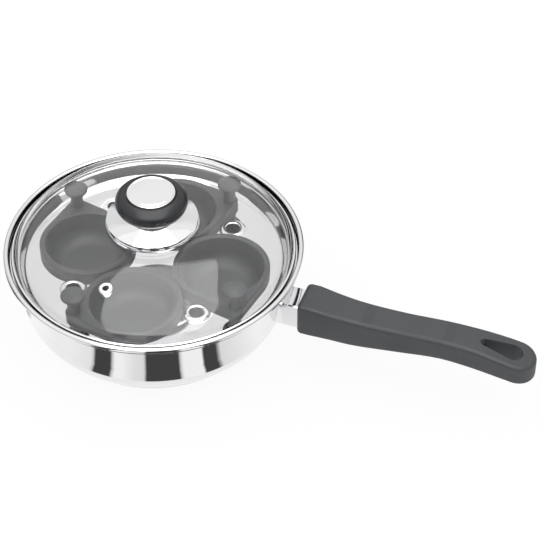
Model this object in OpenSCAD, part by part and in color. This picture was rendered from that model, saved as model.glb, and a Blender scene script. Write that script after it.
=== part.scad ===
// Egg poacher pan: a steel pan with a steel tray, four lift-out cups and a glass lid.
// Origin: centre of the underside of the base. +Z is up and the handle points along +X.
// All lengths are in millimetres.

/* [Pan] */
// Diameter over the curled rim
rim_d = 208; // [206:0.5:212]
// Thickness of the pan's steel
pan_t = 1; // [0.8:0.1:1.2]
// Thickness of the heat-spreading base
base_t = 4.5; // [3.5:0.5:5.5]
// Diameter of the base capsule
base_d = 154.4; // [140:0.4:154.4]
// Outer radius of the rim's curl
curl_r = 1.9; // [1.7:0.1:2]

/* [Handle] */
// Distance from the pan's axis to the far end of the grip
handle_reach = 274; // [270:1:282]
// Width of the steel bracket
bracket_w = 19.6; // [18:0.2:20.4]
// Thickness of the bracket's steel
bracket_t = 1.8; // [1.2:0.1:2.2]
// Diameter of the long handle screw
handle_screw_d = 5; // [4:0.5:6]

/* [Tray] */
// Thickness of the tray's steel
tray_t = 0.8; // [0.6:0.1:0.8]
// Depth from the tray's flange down to its floor
tray_depth = 9.4; // [8:0.2:10]
// Angle of the first cup from the handle
tray_turn = 4.4; // [0:0.2:12]
// Diameter of each steam hole
vent_d = 10; // [8:0.5:11]

/* [Cups] */
// Distance from the pan's axis to each cup's axis
cup_pitch_r = 48.5; // [48.5:0.1:49.5]
// Inner radius of a cup's mouth
cup_mouth_r = 29.3; // [27:0.1:29.5]
// Depth of a cup
cup_depth = 19.6; // [14:0.2:24]
// Thickness of a cup's metal
cup_t = 1.2; // [1:0.1:1.4]
// Radius of a cup's round flange
flange_r = 33.6; // [33:0.1:33.8]
// Radius of the corner that carries the finger knob
tab_r = 6; // [5:0.5:8]
// Distance from the cup's axis to the finger knob
tab_reach = 40; // [38:0.5:41]

/* [Lid] */
// Height of the glass dome over its edge
dome_h = 27.7; // [26:0.1:29]
// Thickness of the glass
glass_t = 3; // [2.6:0.1:3.4]
// Outer radius of the knob's dark ring
knob_r = 24.8; // [24:0.2:25.4]
// Radius of the steel cap in the knob
cap_r = 16.6; // [15:0.2:17]
// Radius of the steel saucer under the knob
skirt_r = 32.4; // [30:0.2:33]

/* [Hidden] */
$fn = 96;

steel = [0.82, 0.83, 0.84];
bright = [0.9, 0.9, 0.91];
phenolic = [0.24, 0.25, 0.26];
coating = [0.4, 0.41, 0.42];
glass = [0.8, 0.88, 0.9, 0.35];

// Pan heights and radii
rim_r = rim_d / 2;
curl_z = 62.5;
ledge_z = 58.4;
rim_in = rim_r - 2 * curl_r;
wall_top_r = rim_r - 6.1;
wall_low_r = rim_r - 10.4;
corner_z = 35.1;
corner_w = 20.7;
floor_r = wall_low_r - corner_w;

// Tray heights
flange_z = ledge_z + tray_t;
floor_z = flange_z - tray_depth;
tray_floor_r = rim_r - 13.5;
tray_top_r = rim_r - 11.4;
vent_pitch_r = 62;
vent_turn = 44.5;

// Cup heights
cup_top = floor_z + 5.3;
cup_floor = cup_top - cup_depth;
tab_turn = -60.5;

// Lid heights
band_z = flange_z;
band_r = rim_r - 5.2;
glass_edge_z = band_z + 0.6;
dome_r = rim_r - 6.2;
dome_z0 = 55.8;
dome_rise = dome_h + 2.6;
dome_pow = 2.6;
skirt_z = 85.5;
neck_z = 98.6;
ring_z = 104.3;
cap_z = 111.6;

// Grip stations: distance from the axis, half width, top and bottom
grip_end = handle_reach;
grip_stations = [
    [109.2, 11.3, 49.7, 27.2],
    [110, 12.4, 50.6, 26.5],
    [111.8, 13.1, 51.1, 26],
    [118, 13.3, 51.3, 25.8],
    [130, 12.6, 49.5, 25.5],
    [150, 11.8, 47.7, 24.9],
    [180, 11.4, 47.9, 28.3],
    [210, 11.7, 49.3, 32.4],
    [232, 12.1, 48.7, 31.6],
    [250, 13.1, 46.3, 30.2],
    [262, 13.5, 44.2, 28.8],
    [274, 13.5, 42.4, 28.6]
];
grip_tip_r = 13.5;
screw_z = 39.2;
hole_small_x = 238.4;
hole_large_x = 257.6;

// Points of an elliptic arc about c, from angle a0 to a1 in n steps
function arc(c, rx, rz, a0, a1, n) =
    [for (i = [0:n]) [c.x + rx * cos(a0 + (a1 - a0) * i / n), c.y + rz * sin(a0 + (a1 - a0) * i / n)]];

// Height of the dome over a radius
function dome(r, top_r, rise) = dome_z0 + rise * pow(max(0, 1 - pow(r / top_r, dome_pow)), 1 / dome_pow);

// Smooth value of column k of the grip's stations at distance s
function grip_at(s, k) = let (
        n = len(grip_stations),
        found = [for (i = [0:n - 2]) if (grip_stations[i][0] <= s) i],
        i = found[len(found) - 1],
        a = grip_stations[max(0, i - 1)],
        b = grip_stations[i],
        c = grip_stations[min(n - 1, i + 1)],
        d = grip_stations[min(n - 1, i + 2)],
        t = min(1, (s - b[0]) / (c[0] - b[0])),
        mb = (c[k] - a[k]) / max(0.1, c[0] - a[0]) * (c[0] - b[0]),
        mc = (d[k] - b[k]) / max(0.1, d[0] - b[0]) * (c[0] - b[0])
    ) (2 * pow(t, 3) - 3 * t * t + 1) * b[k] + (pow(t, 3) - 2 * t * t + t) * mb
        + (3 * t * t - 2 * pow(t, 3)) * c[k] + (pow(t, 3) - t * t) * mc;

// Radius of the grip's softened edges: crisp at the front and the tip, soft between
function grip_soft(s) = s < 112 ? 1.8 : 2.4 + 0.6 * pow(sin(180 * (s - 112) / (grip_end - 112)), 2);

// One section of the grip: a rounded rectangle across the handle
function ring_at(x, w, z0, z1, r, n) = [
    for (q = [[1, 1, 0], [-1, 1, 90], [-1, -1, 180], [1, -1, 270]])
        for (i = [0:n])
            let (a = q[2] + 90 * i / n, m = (z0 + z1) / 2, h = (z1 - z0) / 2)
                [x, q[0] * (w - r) + r * cos(a), m + q[1] * (h - r) + r * sin(a)]
];

// A section swung by a about the upright line where the round tip begins
function swung(ring, x, a, slope) =
    [for (p = ring) [x + abs(p.y) * sin(a), p.y * cos(a), p.z + slope * abs(p.y) * sin(a)]];

// Closed loft through sections of 4 (n + 1) points
module loft(rings, n) {
    k = 4 * (n + 1);
    m = len(rings);
    pts = [for (ring = rings) for (p = ring) p];
    right = concat([for (i = [3 * n + 3:4 * n + 3]) i], [for (i = [0:n]) i]);
    left = concat([for (i = [3 * n + 2:-1:2 * n + 2]) i], [for (i = [2 * n + 1:-1:n + 1]) i]);
    sides = [
        for (j = [0:m - 2])
            for (i = [0:k - 1])
                for (f = [
                    [j * k + i, (j + 1) * k + (i + 1) % k, j * k + (i + 1) % k],
                    [j * k + i, (j + 1) * k + i, (j + 1) * k + (i + 1) % k]
                ]) f
    ];
    start = [for (i = [0:k - 1]) i];
    e = (m - 1) * k;
    end = [
        for (i = [0:len(right) - 2])
            for (f = [
                [e + right[i], e + left[i], e + left[i + 1]],
                [e + right[i], e + left[i + 1], e + right[i + 1]]
            ]) f
    ];
    polyhedron(points = pts, faces = concat([start], sides, end));
}

// Outer side of the pan, from the middle of its underside up to the seat
function pan_outer() = concat(
    [[0, base_t]],
    arc([floor_r, corner_z], corner_w, corner_z - base_t, -90, 0, 14),
    [[wall_top_r, 55.6]],
    arc([wall_top_r + 1.3, 55.8], 1.3, ledge_z - pan_t - 55.8, 180, 90, 3),
    [[rim_in + pan_t - 0.8, ledge_z - pan_t], [rim_in + pan_t, ledge_z - pan_t + 0.8]]
);

// Inner side of the pan, from the seat down to the middle of its floor
function pan_inner() = concat(
    [[rim_in, ledge_z], [wall_top_r, ledge_z]],
    arc([wall_top_r, ledge_z - 1], pan_t, 1, 90, 180, 4),
    arc([floor_r, corner_z], corner_w - pan_t, corner_z - base_t - pan_t, 0, -90, 14),
    [[0, base_t + pan_t]]
);

module pan_body() {
    curl = [rim_r - curl_r, curl_z];
    color(bright)
    rotate_extrude($fn = 160)
    polygon(concat(
        pan_outer(),
        arc(curl, curl_r - pan_t, curl_r - pan_t, 180, -75, 12),
        arc(curl, curl_r, curl_r, -75, 180, 20),
        pan_inner()
    ));
}

// Filled shape of the pan's outside, used to trim what is welded to it
module pan_envelope(grow = 0) {
    rotate_extrude($fn = 160)
    polygon(concat(
        [for (p = pan_outer()) [p.x + (p.x > 0 ? grow : 0), p.y]],
        [[rim_in + pan_t + grow, curl_z], [0, curl_z]]
    ));
}

module base_core() {
    color(steel)
    translate([0, 0, 0.8])
    cylinder(r = base_d / 2 - 0.85, h = base_t - 0.8);
}

module base_cap() {
    r = base_d / 2;
    color(bright)
    rotate_extrude($fn = 160)
    polygon(concat(
        [[0, 0]],
        arc([r - 2, 2], 2, 2, -90, 0, 6),
        [[r, base_t + 0.5], [r - 0.8, base_t + 0.4], [r - 0.8, 0.8], [0, 0.8]]
    ));
}

// Plan of the bracket
module bracket_plan(inset = 0) {
    h = bracket_w / 2 - inset;
    translate([84, -h])
    square([38, 2 * h]);
}

module handle_bracket() {
    low = 28.5;
    high = 47.5;
    color(bright)
    difference() {
        union() {
            difference() {
                translate([0, 0, low])
                linear_extrude(high - low)
                bracket_plan();
                translate([0, 0, low - 1])
                linear_extrude(high - low + 1 - bracket_t)
                bracket_plan(bracket_t);
            }
            // End plate that takes the long screw
            translate([122 - bracket_t - 2, -bracket_w / 2 + 0.5, low + 3])
            cube([bracket_t + 2, bracket_w - 1, high - low - 3.5]);
            // Flange that is welded to the wall, inside the channel
            intersection() {
                pan_envelope(1.5);
                translate([80, -bracket_w / 2 + bracket_t / 2, low])
                cube([20, bracket_w - bracket_t, 13]);
            }
        }
        pan_envelope();
        // Eased upper edges
        for (s = [-1, 1])
            translate([80, s * (bracket_w / 2), high])
            rotate([s * 45, 0, 0])
            translate([0, -0.55, -0.55])
            cube([60, 1.1, 1.1]);
        translate([110, 0, screw_z])
        rotate([0, 90, 0])
        cylinder(d = handle_screw_d + 0.2, h = 20, $fn = 32);
    }
}

module handle_grip() {
    n = 5;
    last = grip_end - grip_tip_r;
    slope = (grip_at(grip_end, 2) - grip_at(last, 2)) / grip_tip_r;
    body_s = concat(
        [for (row = [0:3]) grip_stations[row][0]],
        [for (i = [1:20]) 118 + (last - 118) * i / 20]
    );
    tip = ring_at(last, grip_tip_r, grip_at(last, 3), grip_at(last, 2), 2.6, n);
    rings = concat(
        [
            for (s = body_s)
                if (s < last)
                    ring_at(s, grip_at(s, 1), grip_at(s, 3), grip_at(s, 2), grip_soft(s), n)
        ],
        [for (i = [0:10]) swung(tip, last, 88.4 * i / 10, slope)]
    );
    color(phenolic)
    difference() {
        loft(rings, n);
        // Socket for the bracket
        translate([0, 0, 28.3])
        linear_extrude(19.4)
        translate([108, -bracket_w / 2 - 0.15])
        square([14.2, bracket_w + 0.3]);
        // Way for the screw and its head
        translate([120, 0, screw_z])
        rotate([0, 90, 0])
        cylinder(d = handle_screw_d + 0.6, h = hole_small_x - 121, $fn = 32);
        translate([hole_small_x - 8, 0, screw_z])
        rotate([0, 90, 0])
        cylinder(d = 9.4, h = 8, $fn = 32);
        // Pear-shaped hanging hole
        translate([0, 0, 20])
        linear_extrude(40)
        union() {
            translate([hole_small_x, 0])
            circle(3.2, $fn = 40);
            translate([hole_large_x, 0])
            circle(7, $fn = 56);
            polygon([
                [hole_small_x - 0.62, 3.14], [hole_large_x - 1.37, 6.86],
                [hole_large_x - 1.37, -6.86], [hole_small_x - 0.62, -3.14]
            ]);
        }
    }
}

module handle_screw() {
    color(steel)
    translate([0, 0, screw_z])
    rotate([0, 90, 0])
    difference() {
        union() {
            translate([0, 0, 117])
            cylinder(d = handle_screw_d, h = hole_small_x - 7.5 - 117, $fn = 32);
            translate([0, 0, hole_small_x - 7.9])
            cylinder(d = 8.8, h = 3.2, $fn = 40);
        }
        for (a = [0, 90])
            rotate([0, 0, a])
            translate([-2.6, -0.6, hole_small_x - 6.2])
            cube([5.2, 1.2, 3]);
    }
}

// Section of the tray: floor, steep wall and flat flange
module tray_section() {
    polygon(concat(
        [[0, floor_z - tray_t]],
        arc([tray_floor_r - 2, floor_z + 2], 2 + tray_t, 2 + tray_t, -90, -14, 5),
        arc([tray_top_r + 1.9, flange_z - 1.5 - tray_t], 1.5, 1.5, 170, 90, 5),
        [[rim_in - 0.3, flange_z - tray_t], [rim_in - 0.3, flange_z]],
        arc([tray_top_r + 1.9, flange_z - 1.5 - tray_t], 1.5 + tray_t, 1.5 + tray_t, 90, 170, 5),
        arc([tray_floor_r - 2, floor_z + 2], 2, 2, -14, -90, 5),
        [[0, floor_z]]
    ));
}

// Pressed collar round a steam hole
module vent_collar() {
    r0 = vent_d / 2;
    r1 = 9.3;
    m = (r0 + r1) / 2;
    rotate_extrude($fn = 64)
    polygon(concat(
        [[r1 + 0.4, -tray_t], [r1 + 0.4, 0]],
        arc([m, 0], r1 - m, 1.9, 0, 150, 9),
        [[r0, 0.2], [r0, -tray_t], [r0 + 0.3, -tray_t]],
        arc([m + 0.1, -tray_t], r1 - m - 0.7, 1.9, 160, 0, 7)
    ));
}

module poacher_tray() {
    color(bright)
    union() {
        difference() {
            rotate_extrude($fn = 160)
            tray_section();
            for (i = [0:3])
                rotate([0, 0, tray_turn + 90 * i]) {
                    translate([cup_pitch_r, 0, floor_z - 5])
                    cylinder(r = cup_mouth_r + 1.4, h = 10);
                    rotate([0, 0, vent_turn])
                    translate([vent_pitch_r, 0, floor_z - 5])
                    cylinder(r = 9.5, h = 10, $fn = 64);
                }
        }
        for (i = [0:3])
            rotate([0, 0, tray_turn + vent_turn + 90 * i])
            translate([vent_pitch_r, 0, floor_z])
            vent_collar();
    }
}

// Tear-drop outline of a cup's flange, drawn in by inset
function tear_drop(inset = 0) = let (
        big = flange_r - inset,
        small = tab_r - inset,
        a = 90 - asin((big - small) / tab_reach)
    ) concat(
        arc([tab_reach, 0], small, small, -a, a, 14),
        arc([0, 0], big, big, a, 360 - a, 56)
    );

// Section of a cup's bowl and its rolled lip, about its own axis
module bowl_section() {
    fr = cup_mouth_r - 12.8;
    rise = cup_depth * 0.54;
    bulge = 10.2;
    polygon(concat(
        [[0, cup_floor]],
        arc([fr, cup_floor + rise], bulge, rise, -90, 0, 9),
        [[cup_mouth_r - 0.3, cup_top - 1.6]],
        arc([cup_mouth_r + 1.2, cup_top - 1.6], 1.5, 1.5, 170, 90, 5),
        [[cup_mouth_r + 3, cup_top - 0.1], [cup_mouth_r + 3, cup_top - cup_t + 0.1]],
        [[cup_mouth_r + cup_t + 0.1, cup_top - cup_t + 0.1]],
        [[cup_mouth_r + cup_t - 0.1, cup_top - cup_t - 0.6]],
        arc([fr, cup_floor + rise], bulge + cup_t, rise + cup_t, 0, -90, 9),
        [[0, cup_floor - cup_t]]
    ));
}

// Flange with its turned-down edge, open to the bowl and drilled for the knob's screw
module cup_flange() {
    difference() {
        hull() {
            translate([0, 0, floor_z])
            linear_extrude(cup_top - floor_z - 0.7)
            polygon(tear_drop());
            translate([0, 0, floor_z])
            linear_extrude(cup_top - floor_z)
            polygon(tear_drop(0.7));
        }
        translate([0, 0, floor_z - 1])
        linear_extrude(cup_top - cup_t - floor_z + 1)
        polygon(tear_drop(cup_t));
        translate([0, 0, floor_z - 2])
        cylinder(r = cup_mouth_r + 2, h = 20);
        translate([tab_reach, 0, floor_z - 2])
        cylinder(d = 4.2, h = 20, $fn = 32);
    }
}

module egg_cup() {
    color(coating)
    union() {
        rotate_extrude($fn = 128)
        bowl_section();
        rotate([0, 0, tab_turn])
        cup_flange();
    }
}

// Mushroom knob standing on a cup's tab
module cup_knob() {
    z = cup_top;
    color(coating)
    rotate([0, 0, tab_turn])
    translate([tab_reach, 0, 0])
    difference() {
        rotate_extrude($fn = 56)
        polygon(concat(
            [[0, z], [4.7, z], [4.5, z + 1.2], [4.3, z + 4.5], [4.6, z + 8.5], [5.1, z + 11.2]],
            arc([6.6, z + 13.9], 1.7, 2.4, -90, 0, 5),
            arc([0, z + 13.9], 8.3, 2.7, 0, 90, 9)
        ));
        translate([0, 0, z - 1])
        cylinder(d = 4.2, h = 11, $fn = 32);
    }
}

// Screw that comes up through the tab into the knob
module cup_screw() {
    z = cup_top - cup_t;
    color(steel)
    rotate([0, 0, tab_turn])
    translate([tab_reach, 0, 0])
    difference() {
        union() {
            translate([0, 0, z - 2.4])
            cylinder(d = 7, h = 2.4, $fn = 32);
            translate([0, 0, z - 1])
            cylinder(d = 4, h = 10.5, $fn = 32);
        }
        for (a = [0, 90])
            rotate([0, 0, a])
            translate([-2, -0.5, z - 3])
            cube([4, 1, 1.8]);
    }
}

// Sets a piece on cup number i
module at_cup(i) {
    rotate([0, 0, tray_turn + 90 * (i - 1)])
    translate([cup_pitch_r, 0, 0])
    children();
}

// Half section of the glass as a closed outline
module glass_section() {
    ri = dome_r - glass_t;
    hi = dome_rise - glass_t;
    fo = (glass_edge_z - dome_z0) / dome_rise;
    fi = (glass_edge_z - dome_z0) / hi;
    ro = dome_r * pow(1 - pow(fo, dome_pow), 1 / dome_pow);
    rn = ri * pow(1 - pow(fi, dome_pow), 1 / dome_pow);
    n = 30;
    polygon(concat(
        [
            for (i = [0:n])
                let (r = ro * sin(90 * i / n))
                    [r, i == n ? glass_edge_z : dome(r, dome_r, dome_rise)]
        ],
        [
            for (i = [n:-1:0])
                let (r = rn * sin(90 * i / n))
                    [r, i == n ? glass_edge_z : dome(r, ri, hi)]
        ]
    ));
}

// Frame of the steam eyelet, square to the glass
eyelet_r = 68.5;
eyelet_turn = -95.2;
eyelet_z = dome(eyelet_r, dome_r, dome_rise);
eyelet_tilt = atan((dome(eyelet_r - 1, dome_r, dome_rise) - dome(eyelet_r + 1, dome_r, dome_rise)) / 2);

module at_eyelet() {
    rotate([0, 0, eyelet_turn])
    translate([eyelet_r, 0, eyelet_z])
    rotate([0, eyelet_tilt, 0])
    children();
}

module lid_glass() {
    color(glass)
    difference() {
        rotate_extrude($fn = 160)
        glass_section();
        translate([0, 0, 70])
        cylinder(r = 3.4, h = 40, $fn = 40);
        at_eyelet()
        translate([0, 0, -10])
        cylinder(r = 3.5, h = 20, $fn = 40);
    }
}

module lid_band() {
    color(bright)
    rotate_extrude($fn = 160)
    difference() {
        polygon(concat(
            [[band_r - 3.8, band_z], [band_r - 0.5, band_z], [band_r, band_z + 0.5]],
            arc([band_r - 1.3, band_z + 2.4], 1.3, 1.3, 0, 90, 6),
            [[band_r - 2.3, band_z + 3.6], [band_r - 2.6, band_z + 3.1], [band_r - 3.8, band_z + 0.6]]
        ));
        glass_section();
    }
}

module vent_eyelet() {
    color(bright)
    at_eyelet()
    rotate_extrude($fn = 56)
    polygon(concat(
        [[2.1, 0.5]],
        arc([2.6, 0.7], 0.5, 0.5, 180, 90, 3),
        arc([4, 0.35], 0.8, 0.85, 90, 0, 4),
        [[4.8, 0.06], [3.4, 0.06], [3.4, -4.4], [4.4, -4.4], [4.4, -5], [2.1, -5]]
    ));
}

// Flared section of the saucer, from its edge up to the neck, drawn in by t
function flare(t = 0) = [
    [skirt_r - 0.02 - t, skirt_z + 0.9], [skirt_r - 0.15 - t, skirt_z + 1.8],
    [skirt_r - 0.5 - t, skirt_z + 2.9], [skirt_r - 1.1 - t, skirt_z + 3.8 - t * 0.6],
    [skirt_r - 1.9 - t * 0.7, skirt_z + 4.25 - t * 0.8],
    [28.8 - t * 0.4, 90.72 - t * 0.9], [26.1 - t * 0.4, 91.8 - t * 0.9],
    [24, 92.72 - t], [22, 93.85 - t * 1.1], [20.4, 94.98 - t * 1.25],
    [19.1 - t * 0.3, 96.15 - t * 1.1], [18 - t * 0.8, 97.4 - t * 0.7],
    [17.3 - t, neck_z - 0.1 - t]
];

module knob_skirt() {
    color(bright)
    rotate_extrude($fn = 128)
    polygon(concat(
        [[skirt_r - 0.9, skirt_z], [skirt_r, skirt_z]],
        flare(),
        [[17.15, neck_z], [3, neck_z], [3, neck_z - 0.9], [16.3, neck_z - 0.9]],
        [for (i = [12:-1:0]) flare(0.9)[i]]
    ));
}

module knob_gasket() {
    top = dome(0, dome_r, dome_rise);
    color(phenolic)
    translate([0, 0, top + 0.05])
    difference() {
        cylinder(r = 9, h = neck_z - 0.9 - top - 0.1, $fn = 56);
        translate([0, 0, -1])
        cylinder(r = 3, h = 20, $fn = 40);
    }
}

module knob_grip() {
    color(phenolic)
    difference() {
        rotate_extrude($fn = 128)
        polygon(concat(
            [[0, neck_z], [17.2, neck_z], [18.7, neck_z - 1.1]],
            arc([knob_r - 8.6, ring_z], 8.6, 8.4, -62, 0, 8),
            arc([knob_r - 8.6, ring_z], 8.6, 6.5, 0, 80, 9),
            [[cap_r + 0.4, cap_z + 0.1], [cap_r + 0.2, cap_z - 1.6], [0, cap_z - 1.6]]
        ));
        translate([0, 0, neck_z - 1])
        cylinder(d = 5.4, h = 9.5, $fn = 40);
    }
}

module knob_cap() {
    color(bright)
    rotate_extrude($fn = 96)
    polygon(concat(
        [[0, cap_z - 1.55], [cap_r - 0.2, cap_z - 1.55], [cap_r, cap_z - 1.3], [cap_r, cap_z]],
        arc([cap_r - 0.5, cap_z], 0.5, 0.45, 0, 90, 3),
        [[cap_r - 1.2, cap_z + 0.2]],
        arc([0, cap_z - 0.2], cap_r - 1.4, 1, 20, 90, 7)
    ));
}

module knob_screw() {
    top = dome(0, dome_r, dome_rise) - glass_t;
    color(steel)
    difference() {
        union() {
            translate([0, 0, top - 1.4 - 3])
            cylinder(d = 9.4, h = 3, $fn = 40);
            translate([0, 0, top - 3])
            cylinder(d = 5, h = neck_z + 9.5 - top, $fn = 40);
        }
        for (a = [0, 90])
            rotate([0, 0, a])
            translate([-2.6, -0.6, top - 5])
            cube([5.2, 1.2, 2.2]);
    }
}

module knob_washer() {
    top = dome(0, dome_r, dome_rise) - glass_t;
    color(steel)
    translate([0, 0, top - 1.35])
    difference() {
        cylinder(r = 9, h = 1.1, $fn = 56);
        translate([0, 0, -1])
        cylinder(r = 2.8, h = 4, $fn = 40);
    }
}

pan_body();
base_core();
base_cap();
handle_bracket();
handle_grip();
handle_screw();
poacher_tray();
at_cup(1) egg_cup();  // egg_cup_1
at_cup(2) egg_cup();  // egg_cup_2
at_cup(3) egg_cup();  // egg_cup_3
at_cup(4) egg_cup();  // egg_cup_4
at_cup(1) cup_knob();  // cup_knob_1
at_cup(2) cup_knob();  // cup_knob_2
at_cup(3) cup_knob();  // cup_knob_3
at_cup(4) cup_knob();  // cup_knob_4
at_cup(1) cup_screw();  // cup_screw_1
at_cup(2) cup_screw();  // cup_screw_2
at_cup(3) cup_screw();  // cup_screw_3
at_cup(4) cup_screw();  // cup_screw_4
lid_glass();
lid_band();
vent_eyelet();
knob_skirt();
knob_gasket();
knob_grip();
knob_cap();
knob_screw();
knob_washer();
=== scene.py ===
"""Dresses the egg poacher pan and sets it in a plain pale studio."""

import logging
import math
from dataclasses import dataclass
from enum import Enum
from typing import Iterable, Sequence, Union

import bpy
from mathutils import Euler, Matrix, Vector

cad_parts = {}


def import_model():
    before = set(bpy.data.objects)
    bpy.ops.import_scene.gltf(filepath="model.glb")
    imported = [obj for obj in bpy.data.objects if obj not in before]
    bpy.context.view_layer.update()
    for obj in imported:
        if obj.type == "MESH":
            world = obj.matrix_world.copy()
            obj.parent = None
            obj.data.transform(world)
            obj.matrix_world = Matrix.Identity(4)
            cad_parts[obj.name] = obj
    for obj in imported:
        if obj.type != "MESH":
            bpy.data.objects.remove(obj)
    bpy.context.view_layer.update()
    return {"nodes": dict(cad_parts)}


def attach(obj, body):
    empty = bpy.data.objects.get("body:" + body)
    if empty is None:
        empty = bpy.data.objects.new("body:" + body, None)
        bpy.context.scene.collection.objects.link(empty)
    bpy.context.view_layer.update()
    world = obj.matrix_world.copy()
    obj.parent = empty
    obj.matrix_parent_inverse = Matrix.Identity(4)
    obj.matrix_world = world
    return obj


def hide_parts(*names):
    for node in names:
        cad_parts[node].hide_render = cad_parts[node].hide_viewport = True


log = logging.getLogger("egg_poacher")

Point = tuple[float, float]
Tone = tuple[float, float, float]
Socket = bpy.types.NodeSocket
Source = Union[Socket, float, tuple[float, ...]]

MM = 0.001
SAME_POINT = 2e-6
WHITE = (1.0, 1.0, 1.0, 1.0)


class Coating(Enum):
    """Which of the dark moulded or coated surfaces a finish stands for."""

    GRIP = "grip"
    KNOB = "knob"
    CUP = "cup"


# Shader nodes


def put(tree: bpy.types.NodeTree, source: Source, socket: Socket) -> None:
    """Links an output to an input, or sets the input when the source is a plain value.

    Args:
        tree: The tree that the sockets are in.
        source: An output or a plain value.
        socket: The input.
    """
    if isinstance(source, Socket):
        tree.links.new(source, socket)
    else:
        socket.default_value = source


def add_node(tree: bpy.types.NodeTree, kind: str, **sources: Source) -> bpy.types.Node:
    """Adds a shader node and fills in some of its inputs.

    Args:
        tree: The tree that the node goes into.
        kind: The node's type, without the word ShaderNode that every type starts with.
        **sources: Values or outputs by input name, with an underscore for each space.

    Returns:
        The node.
    """
    node = tree.nodes.new(f"ShaderNode{kind}")
    for label, source in sources.items():
        put(tree, source, node.inputs[label.replace("_", " ")])
    return node


def calculate(tree: bpy.types.NodeTree, operation: str, first: Socket, second: Source) -> Socket:
    """Returns the output of a Math node with two inputs.

    Args:
        tree: The tree that the node goes into.
        operation: Blender's name for the operation.
        first: The first operand.
        second: The second operand, an output or a number.

    Returns:
        The result's output.
    """
    node = tree.nodes.new("ShaderNodeMath")
    node.operation = operation
    put(tree, first, node.inputs[0])
    put(tree, second, node.inputs[1])
    return node.outputs["Value"]


def length_of(tree: bpy.types.NodeTree, vector: Socket) -> Socket:
    """Returns the length of a vector.

    Args:
        tree: The tree that the node goes into.
        vector: The vector's output.

    Returns:
        The length's output.
    """
    node = tree.nodes.new("ShaderNodeVectorMath")
    node.operation = "LENGTH"
    put(tree, vector, node.inputs[0])
    return node.outputs["Value"]


def mix_colours(tree: bpy.types.NodeTree, share: Socket, low: Source, high: Source) -> Socket:
    """Returns a colour between two.

    Args:
        tree: The tree that the mix goes into.
        share: How much of the high colour there is, from 0 to 1.
        low: The colour at 0.
        high: The colour at 1.

    Returns:
        The mixed colour's output.
    """
    mix = tree.nodes.new("ShaderNodeMix")
    mix.data_type = "RGBA"
    put(tree, share, mix.inputs["Factor"])
    put(tree, low, mix.inputs["A"])
    put(tree, high, mix.inputs["B"])
    return mix.outputs["Result"]


def mix_shaders(tree: bpy.types.NodeTree, share: Source, low: Socket, high: Socket) -> Socket:
    """Returns a shader between two.

    Args:
        tree: The tree that the mix goes into.
        share: How much of the high shader there is, from 0 to 1.
        low: The shader at 0.
        high: The shader at 1.

    Returns:
        The mixed shader's output.
    """
    mix = add_node(tree, "MixShader", Fac=share)
    put(tree, low, mix.inputs[1])
    put(tree, high, mix.inputs[2])
    return mix.outputs["Shader"]


def tones_round(tree: bpy.types.NodeTree, place: Socket, tones: Sequence[Point]) -> Socket:
    """Returns a grey tone that changes with the angle about the Z axis.

    Args:
        tree: The tree that the nodes go into.
        place: The place or direction that is looked up.
        tones: Angle from the handle in degrees, and tone there, from -180 to 180.

    Returns:
        The tone's output.
    """
    angle = add_node(tree, "TexGradient", Vector=place)
    angle.gradient_type = "RADIAL"
    ramp = add_node(tree, "ValToRGB", Fac=angle.outputs["Color"])
    stops = ramp.color_ramp.elements
    for stop, (_, tone) in zip(stops, (tones[0], tones[-1])):
        stop.color = (tone, tone, tone, 1)
    for degrees, tone in tones[1:-1]:
        stops.new((degrees + 180) / 360).color = (tone, tone, tone, 1)
    return ramp.outputs["Color"]


# Shader groups


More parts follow.
